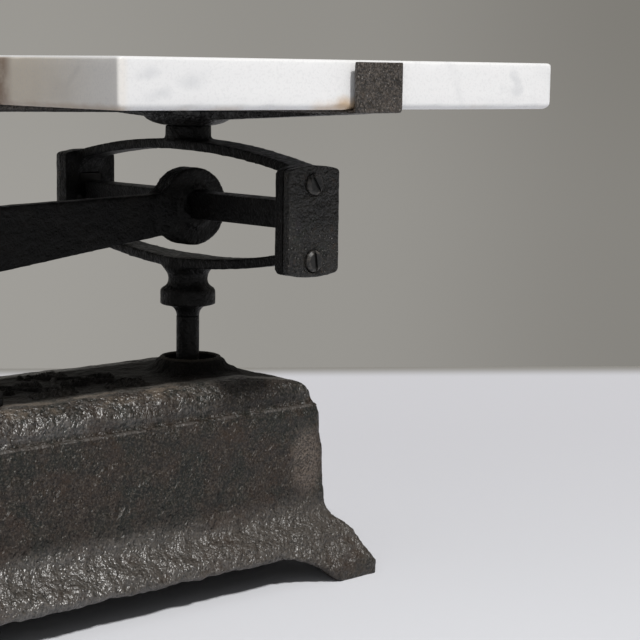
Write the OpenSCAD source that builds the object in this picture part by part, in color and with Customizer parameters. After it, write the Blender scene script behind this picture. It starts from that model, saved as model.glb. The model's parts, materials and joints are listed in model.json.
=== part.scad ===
// Counter balance scale: cast-iron base, knife-edge beam, a carrier at each end,
// a marble slab for the goods and a round iron plate for the weights.
// A level stay inside the base keeps both carriers upright as the beam swings.
// Millimetres. Origin: middle of the base, on the floor. +X is the goods end, -Y is the front, +Z is up.
// The model stands at rest, with the empty weights end down on its collar.

/* [Beam] */
// Fulcrum knife edge to each end knife edge
arm = 178; // [150:1:200]
// Slope of the beam at rest, goods end up, in degrees
tilt = 4.4; // [2:0.1:5]
// Thickness of the arms
arm_t = 9; // [6:0.5:11]
// Half height of an arm at its end
arm_half_end = 10; // [8:0.1:12]
// Half height of an arm at the fulcrum
arm_half_mid = 18.9; // [14:0.1:20]
// Drop of the arms' centre line below the line of the knife edges
arm_drop = 5.8; // [4:0.1:7]
// Radius of the boss at each end
end_boss_r = 20.6; // [18:0.1:21]
// Thickness of the boss at each end
end_boss_t = 13; // [11:0.5:16]
// Drop of the end boss below the knife line
end_boss_drop = 3.6; // [2:0.1:4]
// Radius of the hub on each end boss
end_hub_r = 11; // [10.5:0.5:14]
// Thickness across the hubs of an end boss
end_hub_t = 18; // [14:0.5:20]
// Radius of the middle boss
mid_boss_r = 27; // [22:0.5:28]
// Thickness of the middle boss
mid_boss_t = 15; // [11:0.5:18]
// Rise of the middle boss above the knife line
mid_boss_rise = 1; // [0:0.1:2]
// Radius of the hub on the middle boss
mid_hub_r = 14; // [12:0.5:18]
// Thickness across the hubs of the middle boss
mid_hub_t = 20; // [16:0.5:22]
// How far the bosses' full thickness runs out along the arms
boss_foot = 3; // [1:0.5:6]
// Radius of the fillets between arms and bosses
arm_fillet = 12; // [4:1:16]

/* [Knife bars] */
// Width of a knife bar
bar_w = 9; // [8:0.5:9]
// Length of bar section past the knife edge, towards the load
bar_over = 4.7; // [4:0.1:5.5]
// Length of bar section behind the knife edge
bar_behind = 9.2; // [8.5:0.1:10]
// Angle of the knife edges
knife_angle = 60; // [55:1:75]

/* [Carriers] */
// Knife line down to the pivot of the stay
link_h = 132; // [128:1:134]
// Outer faces of the two end plates, measured from the middle
carrier_half = 100.3; // [95:0.1:105]
// Thickness of each side plate
side_t = 5.5; // [5:0.5:8]
// Thickness of each end plate
cover_t = 5; // [3:0.5:6]
// Width of the side and end plates
plate_w = 33.2; // [30:0.1:36]
// Top of the side plates above the knife line
plate_top = 22.6; // [21:0.1:24]
// Bottom of the side plates below the knife line
plate_low = 32.3; // [31:0.1:34]
// Rise of the crown on the plates' top and bottom edges
plate_crown = 2; // [1:0.1:4]
// Corner radius of the plates
plate_corner = 3; // [1:0.1:4]
// Top of the upper yoke in the middle
upper_top = 31.8; // [31:0.1:34]
// Thickness of the upper yoke
upper_t = 5.3; // [4.5:0.1:7]
// Fall of the upper yoke from the middle to the plates
upper_fall = 9.8; // [8:0.1:11]
// Width of the yokes at the plates
yoke_w = 15.6; // [12:0.1:20]
// Width of the yokes in the middle
yoke_mid_w = 25; // [20:0.5:30]
// Top of the lower yoke in the middle, below the knife line
lower_top = 30; // [28:0.1:31]
// Thickness of the lower yoke in the middle
lower_t = 5.4; // [5:0.1:8]
// Radius of the fillets where the upper yoke meets the plates from below
upper_fillet = 6; // [1:0.5:7]
// Radius of the fillets where the lower yoke meets the plates
lower_fillet = 3; // [1:0.5:4]
// Rise of the lower yoke from the middle to the plates
lower_rise = 10.4; // [6:0.1:11]
// Radius of the spigot that the cradle sits on
spigot_r = 12.1; // [10:0.1:14]
// Top of the spigot above the knife line
spigot_top = 38.9; // [38:0.1:42]
// Radius of the stop node
node_r = 14.8; // [14.2:0.1:15.4]
// Length of the stop node's straight side
node_h = 6.7; // [5:0.1:9]
// Radius of the neck above the stop node
neck_r = 10.5; // [9:0.1:12]
// Shoulder of the stop node that meets the collar, below the knife line
node_seat = 56; // [55:0.1:58]
// Radius of the leg rods
leg_r = 6.1; // [5:0.1:7]

/* [Bearings and screws] */
// Width of a bearing block
block_w = 14; // [12:0.5:16]
// Height of a bearing block
block_h = 12; // [11:0.5:13]
// Depth of the block past the knife edge
block_past = 3; // [2:0.5:4]
// Angle of the bearing notch
notch_angle = 120; // [100:5:130]
// Gap between the knife edge and the bottom of the notch
notch_gap = 0.3; // [0.2:0.05:0.5]
// Width of the window that the knife passes through
window_w = 18; // [16:0.5:20]
// Height of that window
window_h = 12; // [11:0.5:13]
// Upper screw of an end plate, above the knife line
screw_up = 13.4; // [12.8:0.1:14]
// Lower screw of an end plate, below the knife line
screw_down = 24.1; // [22:0.1:25]
// Head diameter of the plate screws
screw_head_d = 10.5; // [8:0.5:11]
// Thread diameter of the plate screws
screw_d = 5; // [4:0.5:6]

/* [Stay] */
// Height of the stay bar
stay_h = 14; // [10:0.5:18]
// Thickness of the stay bar
stay_t = 7; // [5:0.5:8]
// Radius of the stay's eyes
stay_eye_r = 11; // [9:0.5:12]
// Diameter of the stay pins
pin_d = 8; // [6:0.5:9]
// Radial play of the stay on its pins
pin_play = 0.1; // [0.02:0.01:0.1]

/* [Base] */
// Height of the flat field on top
base_top = 109.5; // [108:0.5:114]
// Half depth of the base at the foot of its walls
wall_y = 54; // [50:0.5:60]
// Half length of the base at the foot of its walls
wall_x = 229; // [220:0.5:240]
// How far the feet stand out from the walls
toe_out = 20; // [16:0.5:24]
// Thickness of the walls
wall_t = 6; // [5:0.5:8]
// Thickness of the top
top_t = 7.5; // [6:0.5:9]
// Height of the arches between the feet
arch_h = 16.5; // [10:0.5:16.5]
// Length of a foot's sole
sole_l = 25; // [18:1:36]
// Length of the curve from a sole up to the arch
arch_run = 38; // [24:1:44]
// Height of the collar's rim above the field
collar_h = 7; // [5:0.5:9]
// Outer radius of a collar at its rim
collar_r = 16.4; // [16:0.1:18]
// Inner radius of a collar
collar_bore_r = 13.8; // [13.5:0.1:14]
// How far a collar's middle stands outboard of its leg
collar_shift = 1.8; // [0:0.1:2.5]

/* [Pillar] */
// Gap between the pillar's cheeks
fork_gap = 25; // [24:0.5:30]
// Thickness of each cheek
cheek_t = 9; // [7:0.5:12]
// Half length of the pillar's foot plate
foot_x = 42; // [40:1:50]
// Half depth of the pillar's foot plate
foot_y = 35; // [34.5:0.1:35.5]
// Thickness of the foot plate
foot_t = 8; // [6:0.5:10]
// Bolt diameter
bolt_d = 6; // [5:0.5:7]

/* [Slab and plate] */
// Length of the marble slab across the scale
slab_y = 279.4; // [260:0.1:300]
// Width of the marble slab along the scale
slab_x = 254; // [240:0.1:270]
// Thickness of the marble slab
slab_t = 22.9; // [18:0.1:26]
// Turn of the slab in its cradle, in degrees
slab_turn = 4.4; // [0:0.1:4.5]
// Thickness of the weights plate inside its rim
plate_t = 11.5; // [8:0.5:14]
// Height of the weights plate's rim
plate_rim_h = 3; // [1:0.5:5]
// Width of the weights plate's rim
plate_rim_w = 12; // [6:0.5:16]

/* [Cradles] */
// Slab's underside above the knife line
cradle_top = 50.3; // [49:0.1:52]
// Turn of the goods cradle on its spigot, in degrees
cradle_turn = -0.4; // [-2:0.1:2]
// Width of the cradle's arms and lugs
lug_w = 30; // [24:0.1:36]
// Thickness of the lugs
lug_t = 2.5; // [2:0.5:5]
// Radius of the lugs' lower corners
lug_corner = 3; // [1:0.5:6]
// Drop of the lugs below the top of what they hold
lug_drop = 0.8; // [0:0.1:4]
// Thickness of the ribbed arms at their tips
tip_t = 1.6; // [1.5:0.1:3]
// Thickness of the plain arms at their tips
strap_t = 3.6; // [3:0.1:5]
// Gap between a lug and what it holds
lug_gap = 0.3; // [0.2:0.1:0.6]
// Radius of the cradle's flange
flange_r = 25; // [20:0.5:28]

/* [Hidden] */

iron = "#2b2a29";
rough_iron = "#4a4640";
steel = "#8b8d8f";
marble = "#e9eaec";

// Gap between the stop node and its collar at rest
stop_gap = 0.5;
// Radial clearance of screws, bolts and fixed pins in their holes
hole_gap = 0.05;
// Side clearance between knives and cover plates
end_gap = 0.3;
// Gap between a cradle's top and what rests on it
rest_gap = 0.02;
// Reach that a cut runs past the face it starts from
past = 1;

// Heights of the knife edges and of the stay's pivot
weights_z = base_top + collar_h + stop_gap + node_seat;
rise = arm * sin(tilt);
fulcrum_z = weights_z + rise;
goods_z = fulcrum_z + rise;
stay_z = fulcrum_z - link_h;
end_x = arm * cos(tilt);

// Carrier sizes that follow from the driving ones
cover_in = carrier_half - cover_t;
side_in = cover_in - side_t;
knife_depth = bar_w / 2 / tan(knife_angle / 2);
window_top = -block_past;
crown_r = (pow(plate_w / 2, 2) + pow(plate_crown, 2)) / (2 * plate_crown);
yoke_reach = side_in + side_t / 2;
lower_low = lower_top + lower_t;
node_low = node_seat - 0.4;
node_high = node_low - node_h;
leg_fillet = 6;
leg_seat = node_low + 0.8 + leg_fillet;
leg_thread_r = 4.5;
leg_thread_l = 18;

// Screws
screw_r = screw_d / 2;
screw_head_r = screw_head_d / 2;
screw_head_h = 2.6;
screw_sink = 1;
slot_w = 1.7;
slot_depth = 1.2;
screw_l = 8;

// Stay joints
pin_r = pin_d / 2;
pin_head_r = 6;
pin_head_h = 2;
clevis_half_x = 7.8;
clevis_half_y = 9.5;
clevis_gap = 7.6;
clevis_up = 18;
clevis_slot_up = 12;
lug_in = 4;
bracket_lug_t = 5;
bracket_t = 6;
bracket_eye_r = 12;

// Base outline heights, from the floor up
toe_h = 6.5;
toe_r = 5;
hollow_r = 5;
hollow_h = 19.5;
bulge_r = 4.8;
bulge_h = 21.2;
bulge_out = 12.3;
cove_w = 12.5;
cove_h = 14.5;
wall_low = 41;
wall_high = 90;
batter = 3;
ledge_in = 5.5;
roll_low = 94;
field_in = 16;
end_drop = 5;
end_fall_x = 185;
cavity_top = base_top - top_t;

// Pillar
cheek_in = fork_gap / 2;
cheek_out = cheek_in + cheek_t;
bolt_r = bolt_d / 2;
hex_r = bolt_r + 2.8;
bolt_head_h = 4;
nut_h = 5;
bolt_x = foot_x - 10;
bolt_y = cheek_out + 7;
foot_top = base_top + foot_t;
cheek_foot_x = foot_x - 3;

// Cradles
slab_lean = slab_turn - cradle_turn;
slab_half_turned_x = (slab_x / 2 + lug_w / 2 * sin(slab_lean)) / cos(slab_lean);
slab_half_turned_y = (slab_y / 2 + lug_w / 2 * sin(slab_lean)) / cos(slab_lean);
slab_reach = slab_x / 2 * cos(slab_turn) + slab_y / 2 * sin(slab_turn);
plate_hold = slab_reach - lug_t;
round_plate_r = plate_hold - lug_gap;
flange_low_r = spigot_r + 2;
cradle_screw_r = 4;
cradle_screw_head_r = 8;
cradle_screw_head_h = 4;
spigot_hole_low = 27.5;

// Points along an oval arc in a drawing, from angle a to angle b
function oval_points(cx, cy, rx, ry, a, b, steps = 8) =
    [for (i = [0:steps]) let (t = a + (b - a) * i / steps) [cx + rx * cos(t), cy + ry * sin(t)]];

// Points along a round arc
function arc_points(cx, cy, r, a, b, steps = 8) = oval_points(cx, cy, r, r, a, b, steps);

// Points along a quarter ellipse from (x0, y0) to (x1, y1), leaving x0 upright and meeting x1 level
function ellipse_points(x0, y0, x1, y1, steps = 8) =
    [for (i = [0:steps]) [x1 + (x0 - x1) * cos(90 * i / steps), y0 + (y1 - y0) * sin(90 * i / steps)]];

function reversed(points) = [for (i = [len(points) - 1:-1:0]) points[i]];

// The same outline on the other side of the upright axis, in reverse order
function mirrored(points) = [for (p = reversed(points)) [-p[0], p[1]]];

// Height of a fillet of radius r against the inner face of a side plate, at distance y from the middle
function fillet_at(r, y) = y > side_in ? r : y > side_in - r ? r - sqrt(r * r - pow(y - side_in + r, 2)) : 0;

// Edge of a yoke on one side: height mid at the middle, mid + bend at the plates, and the fillet there.
// A negative fillet turns down.
function yoke_edge(mid, bend, fillet) = let (
        turn = side_in - abs(fillet),
        stations = concat(
            [for (i = [0:16]) turn * i / 16],
            [for (a = [15:15:90]) turn + abs(fillet) * sin(a)],
            [yoke_reach]
        )
    ) [for (y = stations) [y, mid + bend * pow(y / yoke_reach, 2) + sign(fillet) * fillet_at(abs(fillet), y)]];

// Extrudes a drawing in X and Z along Y
module slab_xz(y0, y1) {
    translate([0, y1, 0]) rotate([90, 0, 0]) linear_extrude(y1 - y0) children();
}

// Extrudes a drawing in Y and Z along X
module slab_yz(x0, x1) {
    translate([x0, 0, 0]) rotate([90, 0, 90]) linear_extrude(x1 - x0) children();
}

// A round bar along Y
module rod_y(r, y0, y1) {
    translate([0, y1, 0]) rotate([90, 0, 0]) cylinder(r = r, h = y1 - y0, $fn = 48);
}

module at_fulcrum() {
    translate([0, 0, fulcrum_z]) rotate([0, -tilt, 0]) children();
}

module at_goods() {
    translate([end_x, 0, goods_z]) children();
}

module at_weights() {
    translate([-end_x, 0, weights_z]) children();
}

module both_sides() {
    children();
    mirror([0, 1, 0]) children();
}

// A drawing with its other half
module both_halves() {
    children();
    mirror([1, 0]) children();
}

// A round-headed slotted screw along -Y, its seat at y = 0 and its slot leaning by the given angle
module slotted_screw(r, l, head_r, head_h, lean) {
    difference() {
        union() {
            rod_y(r, 0, l);
            rotate([90, 0, 0]) cylinder(r = head_r, h = head_h * 0.6, $fn = 48);
            translate([0, -head_h * 0.6, 0]) rotate([90, 0, 0])
                cylinder(r1 = head_r, r2 = head_r - 1.3, h = head_h * 0.4, $fn = 48);
        }
        rotate([0, lean, 0]) translate([-slot_w / 2, -head_h - past, -head_r - past])
            cube([slot_w, slot_depth + past, 2 * head_r + 2 * past]);
    }
}

// Outline shared by side plates, end plates and the pillar's head, knife edge at its origin
module plate_outline() {
    offset(r = plate_corner, $fn = 32) offset(delta = -plate_corner) intersection() {
        translate([-plate_w / 2, -plate_low]) square([plate_w, plate_low + plate_top]);
        translate([0, plate_top - crown_r]) circle(r = crown_r, $fn = 128);
        translate([0, crown_r - plate_low]) circle(r = crown_r, $fn = 128);
    }
}

// Window and block seat through a plate, knife edge at the origin
module bearing_cut(y0, y1) {
    slab_xz(y0, y1) union() {
        translate([-window_w / 2, window_top - window_h]) square([window_w, window_h]);
        translate([-block_w / 2, window_top]) square([block_w, block_h]);
    }
}

// A hardened block with its notch over the knife edge
module bearing_block(y0, y1) {
    notch_h = block_past + notch_gap;
    notch_half = notch_h * tan(notch_angle / 2);
    slab_xz(y0, y1) difference() {
        translate([-block_w / 2, window_top]) square([block_w, block_h]);
        polygon([[-notch_half, window_top], [0, notch_gap], [notch_half, window_top]]);
    }
}

// Cover plate over a bearing, inner face at y = 0 and outer face towards -Y
module cover_plate() {
    difference() {
        slab_xz(-cover_t, 0) plate_outline();
        for (z = [screw_up, -screw_down]) translate([0, 0, z]) {
            rod_y(screw_r + hole_gap, -cover_t - past, past);
            rod_y(screw_head_r + 0.3, -cover_t - past, -cover_t + screw_sink);
        }
    }
}

// The two screws of a cover plate, heads towards -Y
module cover_screws(lean_up, lean_down) {
    translate([0, screw_sink - cover_t, screw_up])
        slotted_screw(screw_r, screw_l, screw_head_r, screw_head_h, lean_up);
    translate([0, screw_sink - cover_t, -screw_down])
        slotted_screw(screw_r, screw_l, screw_head_r, screw_head_h, lean_down);
}

module cover_screw_holes() {
    for (z = [screw_up, -screw_down]) translate([0, 0, z])
        rod_y(screw_r + hole_gap, -past, screw_l - cover_t + screw_sink + 0.5);
}

// Outer outline of one side of the base: toe, hollow, bulge, cove, wall, ledge and rolled shoulder
function side_points(wall, drop) = concat(
    [[wall + toe_out, 0]],
    arc_points(wall + toe_out - toe_r, toe_h, toe_r, 0, 50, 4),
    arc_points(wall + toe_out - 1.5, hollow_h, hollow_r, 232, 190, 4),
    arc_points(wall + bulge_out - bulge_r, bulge_h, bulge_r, 0, 72, 4),
    oval_points(wall + cove_w, wall_low, cove_w, cove_h, 242, 180, 7),
    [
        [wall - batter, wall_high],
        [wall - batter - 0.5, wall_high + 1.6],
        [wall - batter - 1.6, wall_high + 2.9],
    ],
    ellipse_points(wall - ledge_in, roll_low, wall - field_in, base_top - drop, 10)
);

// Inner outline of one long side of the base
function cavity_points(wall) = [
    [wall + toe_out - 7, -past],
    [wall + toe_out - 8, toe_h + 3],
    [wall + bulge_out - 5.3, arch_h],
    [wall, wall_low - 12],
    [wall - wall_t, wall_low + 1],
    [wall - wall_t - batter, wall_high],
    [wall - wall_t - batter - 3, cavity_top - 4],
    [wall - wall_t - batter - 8, cavity_top]
];

module base_side_drawing() {
    half = side_points(wall_y, 0);
    polygon(concat(half, mirrored(half)));
}

module base_end_drawing() {
    half = concat(side_points(wall_x, end_drop), [[end_fall_x, base_top]]);
    polygon(concat(half, mirrored(half)));
}

module arch_drawing(wall) {
    foot = wall + toe_out - sole_l;
    right = [for (i = [0:10]) [foot - arch_run * i / 10, arch_h * (1 - pow(1 - i / 10, 2))]];
    polygon(concat([[foot, -past]], right, mirrored(right), [[-foot, -past]]));
}

module collar_body() {
    flare = 8;
    flare_x = collar_r + flare + 1.3;
    rim_r = 1;
    rotate_extrude($fn = 96) polygon(concat(
        [[0, cavity_top + past], [flare_x, cavity_top + past]],
        arc_points(flare_x, base_top + flare, flare, 270, 203, 8),
        arc_points(collar_r - rim_r, base_top + collar_h - rim_r, rim_r, 0, 90, 4),
        [[0, base_top + collar_h]]
    ));
}

module collar_hole() {
    lip = 1;
    rim = base_top + collar_h;
    rotate_extrude($fn = 96) polygon(concat(
        [[0, cavity_top - past], [collar_bore_r, cavity_top - past]],
        [for (i = [0:5]) [collar_bore_r + lip * (1 - cos(18 * i)), rim - lip + lip * sin(18 * i)]],
        [[collar_bore_r + lip, rim + past], [0, rim + past]]
    ));
}

module base_casting() color(rough_iron) {
    collar_x = end_x + collar_shift;
    difference() {
        union() {
            difference() {
                intersection() {
                    slab_yz(-wall_x - toe_out, wall_x + toe_out) base_side_drawing();
                    slab_xz(-wall_y - toe_out, wall_y + toe_out) base_end_drawing();
                }
                intersection() {
                    slab_yz(-wall_x - toe_out, wall_x + toe_out)
                        polygon(concat(cavity_points(wall_y), mirrored(cavity_points(wall_y))));
                    slab_xz(-wall_y - toe_out, wall_y + toe_out)
                        polygon(concat(cavity_points(wall_x), mirrored(cavity_points(wall_x))));
                }
            }
            for (side = [-1, 1]) translate([side * collar_x, 0, 0]) collar_body();
        }
        slab_xz(-wall_y - toe_out - past, wall_y + toe_out + past) arch_drawing(wall_x);
        slab_yz(-wall_x - toe_out - past, wall_x + toe_out + past) arch_drawing(wall_y);
        for (side = [-1, 1]) translate([side * collar_x, 0, 0]) collar_hole();
        at_bolts(cavity_top - past) cylinder(r = bolt_r + 0.5, h = top_t + 2 * past, $fn = 48);
    }
}

// Places its children at the four pillar bolts, at height z
module at_bolts(z) {
    for (x = [-bolt_x, bolt_x], y = [-bolt_y, bolt_y]) translate([x, y, z]) children();
}

module fulcrum_pillar() color(iron) {
    difference() {
        union() {
            translate([-foot_x, -foot_y, base_top]) cube([2 * foot_x, 2 * foot_y, foot_t]);
            both_sides() slab_xz(cheek_in, cheek_out) cheek_drawing();
        }
        both_sides() translate([0, 0, fulcrum_z]) mirror([0, 0, 1])
            bearing_cut(-cheek_out - past, -cheek_in + past);
        both_sides() translate([0, -cheek_out, fulcrum_z]) mirror([0, 0, 1]) cover_screw_holes();
        at_bolts(base_top - past) cylinder(r = bolt_r + 0.5, h = foot_t + 2 * past, $fn = 48);
    }
}

// One cheek of the pillar: an A-frame with an opening under the head
module cheek_drawing() {
    head_low = fulcrum_z - plate_top;
    difference() {
        union() {
            translate([0, fulcrum_z]) mirror([0, 1]) plate_outline();
            polygon([
                [-cheek_foot_x, foot_top - past], [-cheek_foot_x, foot_top + 6],
                [-plate_w / 2, head_low + 14], [plate_w / 2, head_low + 14],
                [cheek_foot_x, foot_top + 6], [cheek_foot_x, foot_top - past]
            ]);
        }
        offset(r = 5, $fn = 32) polygon([
            [-20, foot_top + 10], [20, foot_top + 10], [4, head_low - 8], [-4, head_low - 8]
        ]);
    }
}

module pillar_bolts() color(steel) {
    at_bolts(foot_top) cylinder(r = hex_r, h = bolt_head_h, $fn = 6);
    at_bolts(cavity_top - bracket_t - nut_h - 2)
        cylinder(r = bolt_r - hole_gap, h = foot_top - cavity_top + bracket_t + nut_h + 2, $fn = 48);
}

module pillar_nuts() color(steel) {
    at_bolts(cavity_top - bracket_t - nut_h) difference() {
        cylinder(r = hex_r, h = nut_h, $fn = 6);
        translate([0, 0, -past]) cylinder(r = bolt_r, h = nut_h + 2 * past, $fn = 48);
    }
}

module fulcrum_bearings() color(steel) {
    both_sides() translate([0, 0, fulcrum_z]) mirror([0, 0, 1]) bearing_block(-cheek_out, -cheek_in);
}

module fulcrum_cover_front() color(iron) {
    translate([0, -cheek_out, fulcrum_z]) mirror([0, 0, 1]) cover_plate();
}

module fulcrum_cover_back() color(iron) {
    mirror([0, 1, 0]) translate([0, -cheek_out, fulcrum_z]) mirror([0, 0, 1]) cover_plate();
}

module fulcrum_cover_screws() color(steel) {
    both_sides() translate([0, -cheek_out, fulcrum_z]) mirror([0, 0, 1]) cover_screws(20, 65);
}

// Plate under the base top with two lugs down to the stay's middle pivot
module stay_bracket() color(iron) {
    lug_drawing_top = cavity_top - bracket_t + past;
    difference() {
        union() {
            translate([-foot_x, -foot_y, cavity_top - bracket_t]) cube([2 * foot_x, 2 * foot_y, bracket_t]);
            both_sides() slab_xz(lug_in, lug_in + bracket_lug_t) union() {
                translate([0, stay_z]) circle(r = bracket_eye_r, $fn = 64);
                polygon([
                    [-bracket_eye_r, stay_z], [bracket_eye_r, stay_z],
                    [28, lug_drawing_top], [-28, lug_drawing_top]
                ]);
            }
        }
        translate([0, 0, stay_z]) rod_y(pin_r + hole_gap, -foot_y, foot_y);
        at_bolts(cavity_top - bracket_t - past) cylinder(r = bolt_r + 0.5, h = bracket_t + 2 * past, $fn = 48);
    }
}

// A headed pin along Y whose head seats at -grip and whose tail stands past +grip
module headed_pin(grip) {
    rod_y(pin_r, -grip, grip + 2);
    rod_y(pin_head_r, -grip - pin_head_h, -grip);
    rod_y(pin_r + 0.9, grip, grip + 1.5);
}

module stay_pin() color(steel) {
    translate([0, 0, stay_z]) headed_pin(lug_in + bracket_lug_t);
}

module beam_drawing() {
    offset(r = -arm_fillet, $fn = 64) offset(r = arm_fillet, $fn = 64) union() {
        for (side = [-1, 1]) {
            polygon([
                [0, -arm_drop - arm_half_mid], [side * arm, -arm_drop - arm_half_end],
                [side * arm, -arm_drop + arm_half_end], [0, -arm_drop + arm_half_mid]
            ]);
            translate([side * arm, -end_boss_drop]) circle(r = end_boss_r, $fn = 96);
        }
        translate([0, mid_boss_rise]) circle(r = mid_boss_r, $fn = 96);
    }
}

module beam() color(iron) at_fulcrum() {
    difference() {
        union() {
            slab_xz(-arm_t / 2, arm_t / 2) beam_drawing();
            slab_xz(-end_boss_t / 2, end_boss_t / 2) intersection() {
                beam_drawing();
                for (side = [-1, 1]) translate([side * arm, -end_boss_drop])
                    circle(r = end_boss_r + boss_foot, $fn = 96);
            }
            slab_xz(-mid_boss_t / 2, mid_boss_t / 2) intersection() {
                beam_drawing();
                translate([0, mid_boss_rise]) circle(r = mid_boss_r + boss_foot, $fn = 96);
            }
            for (side = [-1, 1]) translate([side * arm, 0, -end_boss_drop])
                rod_y(end_hub_r, -end_hub_t / 2, end_hub_t / 2);
            translate([0, 0, mid_boss_rise]) rod_y(mid_hub_r, -mid_hub_t / 2, mid_hub_t / 2);
        }
        for (side = [-1, 1]) translate([side * arm, 0, 0]) bar_hole();
        mirror([0, 0, 1]) bar_hole();
    }
}

// Square hole for a knife bar whose edges point up
module bar_hole() {
    translate([-bar_w / 2, -mid_hub_t, -bar_behind]) cube([bar_w, 2 * mid_hub_t, bar_over + bar_behind]);
}

// A knife bar with its edges up: full section in the middle, knives at both ends
module knife_bar(full_half, knife_half) {
    translate([-bar_w / 2, -full_half, -bar_behind]) cube([bar_w, 2 * full_half, bar_over + bar_behind]);
    slab_xz(-knife_half, knife_half) polygon([
        [0, 0], [bar_w / 2, -knife_depth], [bar_w / 2, -bar_behind],
        [-bar_w / 2, -bar_behind], [-bar_w / 2, -knife_depth]
    ]);
}

module fulcrum_knife_bar() color(steel) {
    at_fulcrum() mirror([0, 0, 1]) knife_bar(cheek_in - 1, cheek_out - end_gap);
}

module goods_knife_bar() color(iron) {
    at_fulcrum() translate([arm, 0, 0]) knife_bar(side_in - 1.3, cover_in - end_gap);
}

module weights_knife_bar() color(iron) {
    at_fulcrum() translate([-arm, 0, 0]) knife_bar(side_in - 1.3, cover_in - end_gap);
}

module stay() color(iron) translate([0, 0, stay_z]) rotate([0, -tilt, 0]) {
    difference() {
        union() {
            translate([-arm, -stay_t / 2, -stay_h / 2]) cube([2 * arm, stay_t, stay_h]);
            for (x = [-arm, 0, arm]) translate([x, 0, 0]) rod_y(stay_eye_r, -stay_t / 2, stay_t / 2);
        }
        for (x = [-arm, 0, arm]) translate([x, 0, 0]) rod_y(pin_r + pin_play, -stay_t, stay_t);
    }
}

// A yoke in Y and Z: height low to high in the middle, changed by bend at the plates, with fillets there.
// It is widest in the middle, and narrows faster with a larger taper.
module yoke(low, high, bend, taper, low_fillet, high_fillet) {
    steps = 12;
    margin = abs(bend) + low_fillet + high_fillet + past;
    under = yoke_edge(low, bend, -low_fillet);
    over = yoke_edge(high, bend, high_fillet);
    plan = [for (i = [-steps:steps]) let (t = abs(i) / steps)
        [yoke_w / 2 + (yoke_mid_w - yoke_w) / 2 * pow(1 - t, taper), yoke_reach * i / steps]];
    intersection() {
        slab_yz(-yoke_mid_w, yoke_mid_w) both_halves() polygon(concat(under, reversed(over)));
        translate([0, 0, low - margin]) linear_extrude(high - low + 2 * margin)
            polygon(concat(plan, mirrored(plan)));
    }
}

// Spigot above the upper yoke, with a small cove at its foot
module spigot() {
    rotate_extrude($fn = 96) polygon(concat(
        [[0, upper_top - upper_t], [spigot_r, upper_top - upper_t], [spigot_r + 1.2, upper_top - 1.6]],
        arc_points(spigot_r + 2, upper_top + 1.2, 2, 230, 180, 4),
        [[spigot_r, spigot_top], [0, spigot_top]]
    ));
}

// Neck and stop node under the lower yoke
module stop_node() {
    neck_z = -42.2;
    rotate_extrude($fn = 96) polygon(concat(
        [[0, -lower_top - 2], [neck_r + 1.8, -lower_top - 2], [neck_r + 1.8, -lower_low + 0.6]],
        oval_points(neck_r + 5.6, neck_z, 5.6, 6.4, 118, 210, 9),
        arc_points(node_r - 2.2, -node_high, 2.2, 70, 0, 4),
        [[node_r, -node_low], [node_r - 0.7, -node_low - 0.4]],
        reversed(ellipse_points(leg_r, -leg_seat, leg_r + 5, leg_fillet - leg_seat, 6)),
        [[0, -leg_seat]]
    ));
}

module carrier_frame() {
    difference() {
        union() {
            both_sides() slab_xz(side_in, cover_in) plate_outline();
            yoke(upper_top - upper_t, upper_top, -upper_fall, 1.6, upper_fillet, 0);
            yoke(-lower_low, -lower_top, lower_rise, 3, lower_fillet, lower_fillet);
            spigot();
            stop_node();
        }
        both_sides() bearing_cut(-cover_in - past, -side_in + past);
        both_sides() translate([0, -cover_in, 0]) cover_screw_holes();
        translate([0, 0, spigot_hole_low - 10])
            cylinder(r = cradle_screw_r, h = spigot_top - spigot_hole_low + 10 + past, $fn = 48);
        translate([0, 0, -leg_seat - past])
            cylinder(r = leg_thread_r + hole_gap, h = leg_thread_l + past + 0.5, $fn = 48);
    }
}

module carrier_bearings() {
    both_sides() bearing_block(-cover_in, -side_in);
}

module end_plate_front() {
    translate([0, -cover_in, 0]) cover_plate();
}

module end_plate_back() {
    mirror([0, 1, 0]) end_plate_front();
}

module plate_screws() {
    both_sides() translate([0, -cover_in, 0]) cover_screws(-32, -8);
}

// Leg rod with its threaded top and the clevis at its foot
module leg() {
    translate([0, 0, -leg_seat - past]) cylinder(r = leg_thread_r, h = leg_thread_l + past, $fn = 48);
    translate([0, 0, -link_h + clevis_up - past])
        cylinder(r = leg_r, h = link_h - clevis_up - leg_seat + past, $fn = 64);
    difference() {
        translate([0, 0, -link_h]) union() {
            rod_y(clevis_half_x, -clevis_half_y, clevis_half_y);
            translate([-clevis_half_x, -clevis_half_y, 0])
                cube([2 * clevis_half_x, 2 * clevis_half_y, clevis_up]);
        }
        translate([-clevis_half_x - past, -clevis_gap / 2, -link_h - clevis_half_x - past])
            cube([2 * clevis_half_x + 2 * past, clevis_gap, clevis_half_x + clevis_slot_up + past]);
        translate([0, 0, -link_h]) rod_y(pin_r + hole_gap, -2 * clevis_half_y, 2 * clevis_half_y);
    }
}

module leg_pin() {
    translate([0, 0, -link_h]) headed_pin(clevis_half_y);
}

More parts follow.
